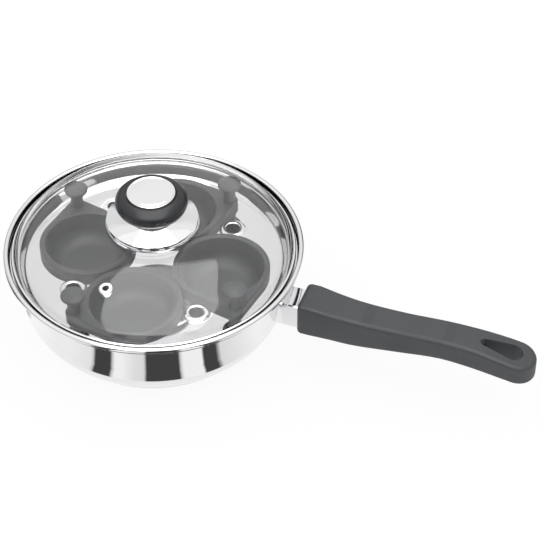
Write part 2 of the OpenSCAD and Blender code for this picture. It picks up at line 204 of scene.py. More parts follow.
class ShaderGroups:
    """The node groups that several finishes share, each built once."""

    def __init__(self) -> None:
        """Builds every group."""
        self.grain = self._build_grain()
        self.speckle = self._build_speckle()
        self.rubbed = self._build_rubbed()
        self.seam = self._build_painted_shade()

    @staticmethod
    def _new_group(name: str, numbers: dict[str, float],
                   results: Sequence[str]) -> tuple[bpy.types.NodeTree, bpy.types.Node, bpy.types.Node]:
        """Starts a shader node group that reads a Vector.

        Args:
            name: The group's name.
            numbers: Name and default of each plain input that follows the Vector.
            results: Name of each output.

        Returns:
            The tree, its input node and its output node.
        """
        tree = bpy.data.node_groups.new(name, "ShaderNodeTree")
        tree.interface.new_socket("Vector", in_out="INPUT", socket_type="NodeSocketVector")
        for label, value in numbers.items():
            socket = tree.interface.new_socket(label, in_out="INPUT", socket_type="NodeSocketFloat")
            socket.default_value = value
        for label in results:
            tree.interface.new_socket(label, in_out="OUTPUT", socket_type="NodeSocketFloat")
        return tree, tree.nodes.new("NodeGroupInput"), tree.nodes.new("NodeGroupOutput")

    def _build_grain(self) -> bpy.types.NodeTree:
        """Makes the fine moulded grain: a height and a small change of roughness.

        Returns:
            The group's tree.
        """
        tree, given, out = self._new_group(
            "moulded_grain", {"Scale": 900, "Low": 0.4, "High": 0.6}, ("Height", "Roughness"))
        place = given.outputs["Vector"]
        noise = add_node(tree, "TexNoise", Vector=place, Scale=given.outputs["Scale"], Detail=4)
        cloud = add_node(tree, "TexNoise", Vector=place, Scale=45, Detail=3)
        spread = add_node(tree, "MapRange", Value=cloud.outputs["Fac"], From_Min=0.3, From_Max=0.7,
                          To_Min=given.outputs["Low"], To_Max=given.outputs["High"])
        put(tree, noise.outputs["Fac"], out.inputs["Height"])
        put(tree, spread.outputs["Result"], out.inputs["Roughness"])
        return tree

    def _build_speckle(self) -> bpy.types.NodeTree:
        """Makes sparse pale flecks and a soft tone change, as masks.

        Returns:
            The group's tree.
        """
        tree, given, out = self._new_group(
            "coating_speckle", {"Scale": 1500, "Cover": 0.3}, ("Fleck", "Cloud"))
        place = given.outputs["Vector"]
        cells = add_node(tree, "TexVoronoi", Vector=place, Scale=given.outputs["Scale"])
        fleck = add_node(tree, "MapRange", Value=cells.outputs["Distance"], From_Min=0,
                         From_Max=given.outputs["Cover"], To_Min=1, To_Max=0)
        cloud = add_node(tree, "TexNoise", Vector=place, Scale=60)
        put(tree, fleck.outputs["Result"], out.inputs["Fleck"])
        put(tree, cloud.outputs["Fac"], out.inputs["Cloud"])
        return tree

    def _build_rubbed(self) -> bpy.types.NodeTree:
        """Makes faint rubbing on polished steel: a roughness between two values.

        Returns:
            The group's tree.
        """
        tree, given, out = self._new_group("polish_rubbing", {"Low": 0.02, "High": 0.08}, ("Roughness",))
        cloud = add_node(tree, "TexNoise", Vector=given.outputs["Vector"], Scale=22, Detail=5)
        spread = add_node(tree, "MapRange", Value=cloud.outputs["Fac"], From_Min=0.35, From_Max=0.75,
                          To_Min=given.outputs["Low"], To_Max=given.outputs["High"])
        put(tree, spread.outputs["Result"], out.inputs["Roughness"])
        return tree

    def _build_painted_shade(self) -> bpy.types.NodeTree:
        """Makes the mask of a narrow ring about the Z axis, where the colour is painted dark as painted
        shade in a groove between two parts.

        Returns:
            The group's tree.
        """
        tree, given, out = self._new_group(
            "painted_shade_ring", {"Inner": 0, "Outer": 1, "Bottom": 0, "Top": 1}, ("Mask",))
        parts = add_node(tree, "SeparateXYZ", Vector=given.outputs["Vector"])
        height = parts.outputs["Z"]
        flat = add_node(tree, "CombineXYZ", X=parts.outputs["X"], Y=parts.outputs["Y"])
        radius = length_of(tree, flat.outputs["Vector"])
        mask = calculate(tree, "GREATER_THAN", radius, given.outputs["Inner"])
        for value, test, limit in ((radius, "LESS_THAN", "Outer"), (height, "GREATER_THAN", "Bottom"),
                                   (height, "LESS_THAN", "Top")):
            side = calculate(tree, test, value, given.outputs[limit])
            mask = calculate(tree, "MULTIPLY", mask, side)
        put(tree, mask, out.inputs["Mask"])
        return tree


# Finishes


class Surface:
    """A material that is being made: its tree, its Principled shader and a point's place."""

    def __init__(self, name: str) -> None:
        """Starts the material.

        Args:
            name: The material's name.
        """
        self.material = bpy.data.materials.new(name)
        self.material.use_nodes = True
        self.tree = self.material.node_tree
        self.shader = self.tree.nodes["Principled BSDF"]
        self.place = add_node(self.tree, "TexCoord").outputs["Object"]

    def give(self, **sources: Source) -> None:
        """Sets or links inputs of the Principled shader, named with an underscore for each space."""
        for label, source in sources.items():
            put(self.tree, source, self.shader.inputs[label.replace("_", " ")])

    def use(self, group: bpy.types.NodeTree, **values: float) -> bpy.types.Node:
        """Puts a shared group into the material, at the point's place.

        Args:
            group: The shared group.
            **values: Values for the group's inputs.

        Returns:
            The group node.
        """
        node = self.tree.nodes.new("ShaderNodeGroup")
        node.node_tree = group
        for label, source in {"Vector": self.place, **values}.items():
            put(self.tree, source, node.inputs[label])
        return node

    def bump(self, height: Socket, strength: float, distance: float) -> None:
        """Feeds a height into the shader's normal through a Bump node."""
        node = add_node(self.tree, "Bump", Strength=strength, Distance=distance, Height=height)
        self.give(Normal=node.outputs["Normal"])


@dataclass(frozen=True)
class PolishedSteel:
    """Mirror polished stainless steel, faintly rubbed.

    A ring of painted shade, the shade in the groove between the pan's rim and the lid's band, is given by
    its inner and outer radius, its bottom and its top, in metres.
    """

    name: str
    tone: Tone = (0.86, 0.86, 0.87)
    low: float = 0.015
    high: float = 0.06
    seam: tuple[float, ...] = ()
    painted_shade_tone: Tone = (0.03, 0.03, 0.032)

    def material(self, groups: ShaderGroups) -> bpy.types.Material:
        """Returns the material.

        Args:
            groups: The shared node groups.

        Returns:
            The new material.
        """
        surface = Surface(self.name)
        tone = (*self.tone, 1)
        surface.give(Base_Color=tone, Metallic=1)
        # Painted shade: the base colour goes dark in a ring, standing in for the shade in the groove
        # between the pan's rim and the lid's band.
        if self.seam:
            inner, outer, bottom, top = self.seam
            seam = surface.use(groups.seam, Inner=inner, Outer=outer, Bottom=bottom, Top=top)
            shade = mix_colours(surface.tree, seam.outputs["Mask"], tone, (*self.painted_shade_tone, 1))
            surface.give(Base_Color=shade)
        rubbed = surface.use(groups.rubbed, Low=self.low, High=self.high)
        surface.give(Roughness=rubbed.outputs["Roughness"])
        return surface.material


@dataclass(frozen=True)
class TurnedSteel:
    """Satin steel with the fine rings that a lathe leaves."""

    name: str
    tone: Tone = (0.78, 0.78, 0.79)
    roughness: float = 0.22
    rings: float = 1400

    def material(self, groups: ShaderGroups) -> bpy.types.Material:
        """Returns the material.

        Args:
            groups: The shared node groups.

        Returns:
            The new material.
        """
        surface = Surface(self.name)
        rubbed = surface.use(groups.rubbed, Low=self.roughness * 0.8, High=self.roughness * 1.3)
        surface.give(Base_Color=(*self.tone, 1), Metallic=1, Roughness=rubbed.outputs["Roughness"])
        wave = add_node(surface.tree, "TexWave", Vector=surface.place, Scale=self.rings / math.tau,
                        Distortion=0.6)
        wave.wave_type = "RINGS"
        wave.rings_direction = "Z"
        surface.bump(wave.outputs["Fac"], 0.15, 0.0001)
        return surface.material


@dataclass(frozen=True)
class Moulded:
    """Dark phenolic or coated metal with a fine grain and pale flecks."""

    name: str
    kind: Coating
    tone: Tone
    roughness: tuple[float, float]
    grain: float
    bump: float
    fleck: float = 0.0

    def material(self, groups: ShaderGroups) -> bpy.types.Material:
        """Returns the material.

        Args:
            groups: The shared node groups.

        Returns:
            The new material.
        """
        surface = Surface(self.name)
        tree = surface.tree
        low, high = self.roughness
        grain = surface.use(groups.grain, Scale=self.grain, Low=low, High=high)
        surface.give(Roughness=grain.outputs["Roughness"])
        surface.bump(grain.outputs["Height"], 0.35, self.bump)
        cover = 0.28 if self.kind is Coating.CUP else 0.2
        speckle = surface.use(groups.speckle, Scale=self.grain * 1.3, Cover=cover)
        shade = mix_colours(tree, speckle.outputs["Cloud"], self._shaded(0.88), self._shaded(1.12))
        flecks = calculate(tree, "MULTIPLY", speckle.outputs["Fleck"], self.fleck)
        surface.give(Base_Color=mix_colours(tree, flecks, shade, self._shaded(2.6, 0.02)))
        return surface.material

    def _shaded(self, share: float, lift: float = 0.0) -> tuple[float, ...]:
        """Returns the tone made lighter or darker."""
        return (*[min(1, channel * share + lift) for channel in self.tone], 1)


@dataclass(frozen=True)
class ClearGlass:
    """Clear tempered glass that lets light through to what it covers."""

    name: str
    tone: Tone = (0.99, 0.99, 0.99)
    index: float = 1.47

    def material(self, groups: ShaderGroups) -> bpy.types.Material:
        """Returns the material.

        Args:
            groups: The shared node groups.

        Returns:
            The new material.
        """
        surface = Surface(self.name)
        tree = surface.tree
        rubbed = surface.use(groups.rubbed, Low=0, High=0.012)
        surface.give(Base_Color=(*self.tone, 1), Transmission_Weight=1, IOR=self.index,
                     Roughness=rubbed.outputs["Roughness"])
        path = add_node(tree, "LightPath")
        clear = add_node(tree, "BsdfTransparent")
        shown = mix_shaders(tree, path.outputs["Is Shadow Ray"], surface.shader.outputs["BSDF"],
                            clear.outputs["BSDF"])
        put(tree, shown, tree.nodes["Material Output"].inputs["Surface"])
        return surface.material


class Finishes:
    """Every finish of the pan, by the record's material slot."""

    kinds = (
        # The dark ring here is painted shade at the pan's seat, in the groove under the lid's band.
        PolishedSteel("mirror_steel", seam=(0.0995, 0.1012, 0.0583, 0.0637)),
        TurnedSteel("base_steel"),
        TurnedSteel("aluminium_core", tone=(0.75, 0.76, 0.77), roughness=0.35),
        PolishedSteel("bracket_steel", low=0.03, high=0.08),
        Moulded("grip_phenolic", Coating.GRIP, (0.05, 0.052, 0.056), (0.42, 0.55), 1500, 0.00008),
        TurnedSteel("screw_steel", tone=(0.7, 0.7, 0.71), roughness=0.3, rings=2600),
        PolishedSteel("tray_steel", low=0.03, high=0.09),
        Moulded("cup_coating", Coating.CUP, (0.07, 0.072, 0.075), (0.36, 0.5), 2100, 0.00004, 0.25),
        Moulded("cup_knob_plastic", Coating.KNOB, (0.08, 0.082, 0.085), (0.4, 0.52), 1400, 0.00008),
        ClearGlass("lid_glass"),
        # The dark ring here is painted shade on the band's outer side, in the groove against the pan's rim.
        PolishedSteel("band_steel", tone=(0.88, 0.88, 0.89), seam=(0.0978, 0.0995, 0.059, 0.0625)),
        PolishedSteel("eyelet_steel", tone=(0.85, 0.85, 0.86)),
        PolishedSteel("skirt_steel", tone=(0.88, 0.88, 0.89), low=0.02, high=0.05),
        Moulded("gasket_rubber", Coating.KNOB, (0.045, 0.045, 0.047), (0.6, 0.75), 900, 0.00005),
        Moulded("knob_phenolic", Coating.KNOB, (0.018, 0.019, 0.021), (0.25, 0.34), 1500, 0.00004),
        PolishedSteel("cap_steel", tone=(0.9, 0.9, 0.9), low=0.05, high=0.1),
    )

    def __init__(self, groups: ShaderGroups) -> None:
        """Builds the materials from the shared groups."""
        self.by_slot = {kind.name: kind.material(groups) for kind in self.kinds}

    def dress(self, piece: bpy.types.Object, slot: str) -> None:
        """Gives a piece the finish of one slot."""
        piece.data.materials.clear()
        piece.data.materials.append(self.by_slot[slot])


# Modelling


def arc(centre: Point, rx: float, rz: float, start: float, end: float, count: int) -> list[Point]:
    """Points of an elliptic arc.

    Args:
        centre: The arc's centre in millimetres.
        rx: Half width.
        rz: Half height.
        start: First angle in degrees.
        end: Last angle in degrees.
        count: Number of steps.

    Returns:
        count + 1 points.
    """
    angles = [math.radians(start + (end - start) * i / count) for i in range(count + 1)]
    return [(centre[0] + rx * math.cos(a), centre[1] + rz * math.sin(a)) for a in angles]


def clear_selection() -> None:
    """Leaves edit mode and deselects everything."""
    if bpy.context.object and bpy.context.object.mode != "OBJECT":
        bpy.ops.object.mode_set(mode="OBJECT")
    bpy.ops.object.select_all(action="DESELECT")


def choose(piece: bpy.types.Object) -> None:
    """Makes one piece the active one, and the only one selected, in object mode.

    Args:
        piece: The piece.
    """
    clear_selection()
    piece.select_set(True)
    bpy.context.view_layer.objects.active = piece


def edit(piece: bpy.types.Object) -> None:
    """Opens one piece in edit mode with everything selected.

    Args:
        piece: The piece.
    """
    choose(piece)
    bpy.ops.object.mode_set(mode="EDIT")
    bpy.ops.mesh.select_all(action="SELECT")


def close_up(piece: bpy.types.Object, smooth: float = 35) -> None:
    """Merges doubles, turns the faces outward and shades the piece smooth up to an angle.

    Args:
        piece: The piece.
        smooth: Largest angle that is shaded smooth, in degrees.
    """
    edit(piece)
    bpy.ops.mesh.remove_doubles(threshold=SAME_POINT)
    bpy.ops.mesh.normals_make_consistent(inside=False)
    bpy.ops.object.mode_set(mode="OBJECT")
    bpy.ops.object.shade_smooth_by_angle(angle=math.radians(smooth))


def draw_line(name: str, points: Sequence[Vector]) -> bpy.types.Object:
    """Draws a line by extruding one vertex from point to point.

    Args:
        name: The piece's name.
        points: The line's points in millimetres.

    Returns:
        The piece, left in edit mode with all of it selected.
    """
    clear_selection()
    bpy.ops.mesh.primitive_plane_add(size=0.001, location=(0, 0, 0))
    piece = bpy.context.object
    piece.name = piece.data.name = name
    bpy.ops.object.mode_set(mode="EDIT")
    bpy.ops.mesh.select_all(action="SELECT")
    bpy.ops.mesh.merge(type="CENTER")
    bpy.ops.transform.translate(value=points[0] * MM)
    for start, end in zip(points, points[1:]):
        bpy.ops.mesh.extrude_region_move(TRANSFORM_OT_translate={"value": (end - start) * MM})
    bpy.ops.mesh.select_all(action="SELECT")
    return piece


def draw_profile(name: str, points: Sequence[Point]) -> bpy.types.Object:
    """Draws a profile, given as radii and heights in millimetres, in the X-Z plane."""
    return draw_line(name, [Vector((r, 0, z)) for r, z in points])


def turn(name: str, points: Sequence[Point], steps: int = 192, smooth: float = 35) -> bpy.types.Object:
    """Turns a profile about the Z axis into a closed piece.

    Args:
        name: The piece's name.
        points: The profile. One that starts away from the axis is closed on itself.
        steps: Number of steps round the axis.
        smooth: Largest angle that is shaded smooth, in degrees.

    Returns:
        The piece in object mode.
    """
    closed = points[0][0] > 0
    piece = draw_profile(name, [*points, points[0]] if closed else points)
    bpy.ops.mesh.spin(steps=steps, dupli=False, angle=math.tau, center=(0, 0, 0), axis=(0, 0, 1))
    close_up(piece, smooth)
    return piece


def settle(piece: bpy.types.Object, where: Matrix) -> None:
    """Turns and moves a piece that was made at the origin, and leaves its place in its mesh.

    Args:
        piece: The piece.
        where: Its place in metres.
    """
    choose(piece)
    piece.matrix_world = where
    bpy.ops.object.transform_apply(location=True, rotation=True, scale=True)


def round_axis(out: float, degrees: float, turned: float = 0.0) -> Matrix:
    """Returns a place in the level plane.

    Args:
        out: Distance from the Z axis in millimetres.
        degrees: Angle about the Z axis.
        turned: How far the piece itself is turned, in degrees.

    Returns:
        The place in metres.
    """
    angle = math.radians(degrees)
    spot = Vector((out * math.cos(angle), out * math.sin(angle), 0)) * MM
    return Matrix.Translation(spot) @ Matrix.Rotation(math.radians(turned), 4, "Z")


def copy_of(piece: bpy.types.Object, name: str) -> bpy.types.Object:
    """Returns a copy with a mesh of its own.

    Args:
        piece: The piece to copy.
        name: The copy's name.

    Returns:
        The copy, linked to the scene.
    """
    twin = piece.copy()
    twin.data = piece.data.copy()
    twin.name = twin.data.name = name
    bpy.context.scene.collection.objects.link(twin)
    return twin


def cut(piece: bpy.types.Object, tools: Iterable[bpy.types.Object], smooth: float = 35) -> None:
    """Cuts tools out of a piece and throws the tools away.

    Args:
        piece: The piece that is cut.
        tools: Closed pieces that take their shape out of it.
        smooth: Largest angle that is shaded smooth, in degrees.
    """
    for tool in tools:
        choose(piece)
        modifier = piece.modifiers.new("cut", "BOOLEAN")
        modifier.operation = "DIFFERENCE"
        modifier.solver = "EXACT"
        modifier.object = tool
        bpy.ops.object.modifier_apply(modifier=modifier.name)
        bpy.data.objects.remove(tool)
    choose(piece)
    bpy.ops.object.shade_smooth_by_angle(angle=math.radians(smooth))


def join(pieces: Sequence[bpy.types.Object], name: str) -> bpy.types.Object:
    """Joins several pieces into the first and names it.

    Args:
        pieces: The pieces.
        name: The joined piece's name.

    Returns:
        The joined piece.
    """
    clear_selection()
    for piece in pieces:
        piece.select_set(True)
    bpy.context.view_layer.objects.active = pieces[0]
    bpy.ops.object.join()
    pieces[0].name = pieces[0].data.name = name
    return pieces[0]


# Sub-assemblies


@dataclass
class SubAssembly:
    """A group of pieces that rides on one body of the frame, with its sizes in millimetres."""

    finishes: Finishes
    body: str = "pan"

    def fit(self, piece: bpy.types.Object, node: str, slot: str, body: str = "") -> None:
        """Finishes a new piece, hangs it on its body and lets it stand for its solid.

        Args:
            piece: The new piece.
            node: The solid that it stands for.
            slot: Its material slot.
            body: Its body, where that isn't the sub-assembly's own.
        """
        self.finishes.dress(piece, slot)
        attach(piece, body or self.body)
        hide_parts(node)
        log.info("%s: %d faces", piece.name, len(piece.data.polygons))

    def keep(self, nodes: dict[str, bpy.types.Object], node: str, slot: str) -> None:
        """Finishes a solid that is shown as it is.

        Args:
            nodes: The frame's solids by name.
            node: The solid's name.
            slot: Its material slot.
        """
        self.finishes.dress(nodes[node], slot)
        log.info("%s: kept", node)


@dataclass
class Pan(SubAssembly):
    """The pan's shell, its base and its handle."""

    rim_r: float = 104.0
    sheet: float = 1.0
    base_top: float = 4.5
    base_r: float = 77.2
    curl_r: float = 1.9
    curl_z: float = 62.5
    ledge_z: float = 58.4
    ledge_w: float = 6.1
    corner_z: float = 35.1
    corner_w: float = 20.7
    wall_in: float = 10.4

    def shell(self) -> bpy.types.Object:
        """Makes the spun shell with its seat and curled rim.

        Returns:
            The piece.
        """
        t, seat, low, corner = self.sheet, self.ledge_z, self.base_top, self.corner_z
        rim_in = self.rim_r - 2 * self.curl_r
        step_r = self.rim_r - self.ledge_w
        floor_r = self.rim_r - self.wall_in - self.corner_w
        rise = corner - low
        curl = (self.rim_r - self.curl_r, self.curl_z)
        bend_z = seat - 2.6
        outer = [
            (0.0, low), (floor_r - 4, low), (floor_r - 0.5, low),
            *arc((floor_r, corner), self.corner_w, rise, -90, 0, 40),
            (self.rim_r - self.wall_in + 0.2, corner + 1.2), (step_r - 0.1, bend_z - 0.8),
            *arc((step_r + 1.3, bend_z), 1.3, seat - t - bend_z, 180, 90, 8),
            (rim_in + t - 0.9, seat - t),
            *arc((rim_in + t - 0.8, seat - t + 0.8), 0.8, 0.8, -90, 0, 5),
            (rim_in + t, self.curl_z - 0.5),
        ]
        roll = arc(curl, self.curl_r - t, self.curl_r - t, 180, -75, 24)
        over = arc(curl, self.curl_r, self.curl_r, -75, 180, 48)
        inner = [
            (rim_in, seat + 1.2),
            *arc((rim_in - 0.5, seat + 0.5), 0.5, 0.5, 0, -90, 4),
            *arc((step_r, seat - 1), t, 1, 90, 180, 8),
            (self.rim_r - self.wall_in - 0.8, corner + 1.2),
            *arc((floor_r, corner), self.corner_w - t, rise - t, 0, -90, 40),
            (floor_r - 0.5, low + t), (floor_r - 4, low + t), (0.0, low + t),
        ]
        return turn("pan_shell", [*outer, *roll, *over, *inner], steps=256, smooth=40)

    def capsule(self) -> bpy.types.Object:
        """Makes the steel capsule over the base disc.

        Returns:
            The piece.
        """
        r, top = self.base_r, self.base_top
        return turn("pan_base", [
            (0, 0), (r - 6, 0), (r - 2.3, 0), *arc((r - 2, 2), 2, 2, -90, 0, 12), (r, top + 0.3),
            *arc((r - 0.2, top + 0.3), 0.2, 0.2, 0, 90, 3), (r - 0.8, top + 0.45), (r - 0.8, 0.8), (0, 0.8),
        ], steps=256, smooth=40)

    def build(self, nodes: dict[str, bpy.types.Object]) -> None:
        """Builds and dresses the pan.

        Args:
            nodes: The frame's solids by name.
        """
        self.fit(self.shell(), "pan_body", "mirror_steel")
        self.fit(self.capsule(), "base_cap", "base_steel")
        self.keep(nodes, "base_core", "aluminium_core")
        self.keep(nodes, "handle_bracket", "bracket_steel")
        self.keep(nodes, "handle_grip", "grip_phenolic")
        self.keep(nodes, "handle_screw", "screw_steel")


@dataclass
class Tray(SubAssembly):
    """The pressed tray."""

    body: str = "tray"
    floor_z: float = 49.8
    flange_z: float = 59.2
    sheet: float = 0.8
    hole_r: float = 30.7
    cup_at: float = 48.5
    vent_hole_r: float = 9.5
    vent_at: float = 62.0
    turned: float = 4.4
    vent_turn: float = 44.5

    def plate(self) -> bpy.types.Object:
        """Makes the spun tray with its cup and steam holes cut.

        Returns:
            The piece.
        """
        f, g, t = self.floor_z, self.flange_z, self.sheet
        profile = [
            (0, f - t), (84, f - t), (88.2, f - t),
            *arc((88.5, f + 2), 2 + t, 2 + t, -90, -14, 12),
            *arc((94.5, g - 1.5 - t), 1.5, 1.5, 170, 90, 10),
            (95, g - t), (99.4, g - t), *arc((99.6, g - t / 2), 0.3, t / 2, -90, 90, 6), (99.4, g), (95, g),
            *arc((94.5, g - 1.5 - t), 1.5 + t, 1.5 + t, 90, 170, 10),
            *arc((88.5, f + 2), 2, 2, -14, -90, 12), (88.2, f), (84, f), (0, f),
        ]
        piece = turn("tray", profile, steps=256, smooth=40)
        tools = []
        for quarter in range(4):
            at = self.turned + 90 * quarter
            tools.append(self._drill(self.hole_r, round_axis(self.cup_at, at), 128))
            tools.append(self._drill(self.vent_hole_r, round_axis(self.vent_at, at + self.vent_turn), 64))
        cut(piece, tools, 40)
        return piece

    def _drill(self, radius: float, where: Matrix, sides: int) -> bpy.types.Object:
        """Returns an upright cylinder to cut one hole of the floor with.

        Args:
            radius: The hole's radius in millimetres.
            where: The hole's place in the level plane.
            sides: Number of sides.

        Returns:
            The cylinder.
        """
        clear_selection()
        spot = where.translation + Vector((0, 0, self.floor_z * MM))
        bpy.ops.mesh.primitive_cylinder_add(
            vertices=sides, radius=radius * MM, depth=6 * MM, location=spot)
        return bpy.context.object

    def collar(self) -> bpy.types.Object:
        """Makes one raised steam collar, on the axis.

        Returns:
            The piece.
        """
        f, t = self.floor_z, self.sheet
        return turn("collar", [
            (9.7, f - t), (9.7, f), (9.45, f + 0.02), *arc((6.7, f), 2.6, 1.7, 8, 90, 16), (6.0, f + 1.66),
            *arc((5.6, f + 1.0), 0.6, 0.6, 90, 180, 6), (5.0, f - t), (5.4, f - t), (5.5, f + 0.6),
            *arc((7.0, f - t), 1.6, 1.9, 130, 0, 12),
        ], steps=72, smooth=50)

    def build(self) -> None:
        """Builds and dresses the tray."""
        parts = [self.plate()]
        collar = self.collar()
        for quarter in range(4):
            one = copy_of(collar, f"collar_{quarter}")
            settle(one, round_axis(self.vent_at, self.turned + self.vent_turn + 90 * quarter))
            parts.append(one)
        bpy.data.objects.remove(collar)
        self.fit(join(parts, "tray_plate"), "poacher_tray", "tray_steel")


@dataclass
class Cups(SubAssembly):
    """The four cups with their knobs. An outline is held a height above its cup while they are bridged."""

    top: float = 55.1
    floor_z: float = 49.8
    sheet: float = 1.2
    mouth_r: float = 29.3
    depth: float = 19.6
    flange_r: float = 33.6
    tab_r: float = 6.0
    tab_at: float = 40.0
    tab_turn: float = -60.5
    held: float = 30.0
    pitch_r: float = 48.5
    turned: float = 4.4

    def cup(self) -> bpy.types.Object:
        """Makes one cup on the axis: a spun bowl bridged to a tear-drop flange with a skirt.

        Returns:
            The piece.
        """
        m, t = self.mouth_r, self.top
        low = t - self.depth
        fr, rise = m - 12.8, self.depth * 0.54
        bowl = [
            (0, low), (fr - 4, low), (fr - 0.4, low), *arc((fr, low + rise), 10.2, rise, -90, 0, 28),
            (m - 0.6, t - 3), (m - 0.3, t - 1.6), *arc((m + 1.2, t - 1.6), 1.5, 1.5, 170, 90, 8),
            (m + 1.6, t - 0.1),
        ]
        piece = draw_profile("cup", bowl)
        bpy.ops.mesh.spin(steps=128, dupli=False, angle=math.tau, center=(0, 0, 0), axis=(0, 0, 1))
        bpy.ops.mesh.select_all(action="SELECT")
        bpy.ops.mesh.remove_doubles(threshold=SAME_POINT)
        bpy.ops.object.mode_set(mode="OBJECT")
        piece = join([piece, self._flange_outline()], "cup")
        edit(piece)
        bpy.ops.mesh.select_all(action="DESELECT")
        bpy.ops.mesh.select_non_manifold(extend=False)
        bpy.ops.mesh.bridge_edge_loops()
        bpy.ops.mesh.select_all(action="DESELECT")
        bpy.ops.mesh.select_non_manifold(extend=False)
        bpy.ops.transform.translate(value=(0, 0, -self.held * MM))
        drop = (self.top - 0.1 - self.floor_z) * MM
        bpy.ops.mesh.extrude_region_move(TRANSFORM_OT_translate={"value": (0, 0, -drop)})
        close_up(piece, 50)
        self._finish_sheet(piece)
        return piece

    def _flange_outline(self) -> bpy.types.Object:
        """Makes the tear-drop flange's outline, held over its place, with as many points as the lip.

        Returns:
            The piece.
        """
        reach = 90 - math.degrees(math.asin((self.flange_r - self.tab_r) / self.tab_at))
        tip = arc((self.tab_at, 0), self.tab_r, self.tab_r, -reach, reach, 16)
        back = arc((0, 0), self.flange_r, self.flange_r, reach, 360 - reach, 100)
        outline = [*tip, *self._between(tip[-1], back[0], 6), *back, *self._between(back[-1], tip[0], 6)]
        height = self.top - 0.1 + self.held
        piece = draw_line("flange", [Vector((x, y, height)) for x, y in [*outline, outline[0]]])
        bpy.ops.mesh.remove_doubles(threshold=SAME_POINT)
        turned = -math.radians(self.tab_turn)
        bpy.ops.transform.rotate(value=turned, orient_axis="Z", center_override=(0, 0, 0))
        bpy.ops.object.mode_set(mode="OBJECT")
        return piece

    @staticmethod
    def _between(start: Point, end: Point, steps: int) -> list[Point]:
        """Returns the points that part the way from start to end into equal steps, ends left out."""
        across, along = end[0] - start[0], end[1] - start[1]
        return [(start[0] + across * i / steps, start[1] + along * i / steps) for i in range(1, steps)]

    def _finish_sheet(self, piece: bpy.types.Object) -> None:
        """Rounds the flange's edge over and gives the open cup its wall, drawn inward from what shows.

        Args:
            piece: The open cup.
        """
        choose(piece)
        edge = piece.modifiers.new("edge", "BEVEL")
        edge.width = 0.9 * MM
        edge.segments = 6
        edge.limit_method = "ANGLE"
        edge.angle_limit = math.radians(60)
        bpy.ops.object.modifier_apply(modifier=edge.name)
        wall = piece.modifiers.new("wall", "SOLIDIFY")
        wall.thickness = self.sheet * MM
        wall.offset = -1
        bpy.ops.object.modifier_apply(modifier=wall.name)
        bpy.ops.object.shade_smooth_by_angle(angle=math.radians(50))

    def knob(self) -> bpy.types.Object:
        """Makes one mushroom knob on the axis.

        Returns:
            The piece.
        """
        z = self.top
        return turn("cup_knob", [
            (0, z), (4.6, z), *arc((4.4, z + 0.3), 0.3, 0.3, -90, 0, 3), (4.5, z + 1.2), (4.3, z + 4.5),
            (4.6, z + 8.5), (5.1, z + 10.9), *arc((5.5, z + 11.2), 0.35, 0.3, 180, 90, 3),
            *arc((6.6, z + 13.9), 1.7, 2.4, -90, 0, 14), *arc((0, z + 13.9), 8.3, 2.7, 0, 90, 24),
        ], steps=96, smooth=50)

    def build(self, nodes: dict[str, bpy.types.Object]) -> None:
        """Builds one cup and one knob, and copies them to the four places.

        Args:
            nodes: The frame's solids by name.
        """
        cup, knob = self.cup(), self.knob()
        settle(knob, round_axis(self.tab_at, self.tab_turn))
        for number in range(1, 5):
            angle = self.turned + 90 * (number - 1)
            seat = round_axis(self.pitch_r, angle, angle)
            bowl = copy_of(cup, f"poaching_cup_{number}")
            handle = copy_of(knob, f"finger_knob_{number}")
            settle(bowl, seat)
            settle(handle, seat)
            self.fit(bowl, f"egg_cup_{number}", "cup_coating", f"cup_{number}")
            self.fit(handle, f"cup_knob_{number}", "cup_knob_plastic", f"cup_{number}")
            self.keep(nodes, f"cup_screw_{number}", "screw_steel")
        bpy.data.objects.remove(cup)
        bpy.data.objects.remove(knob)


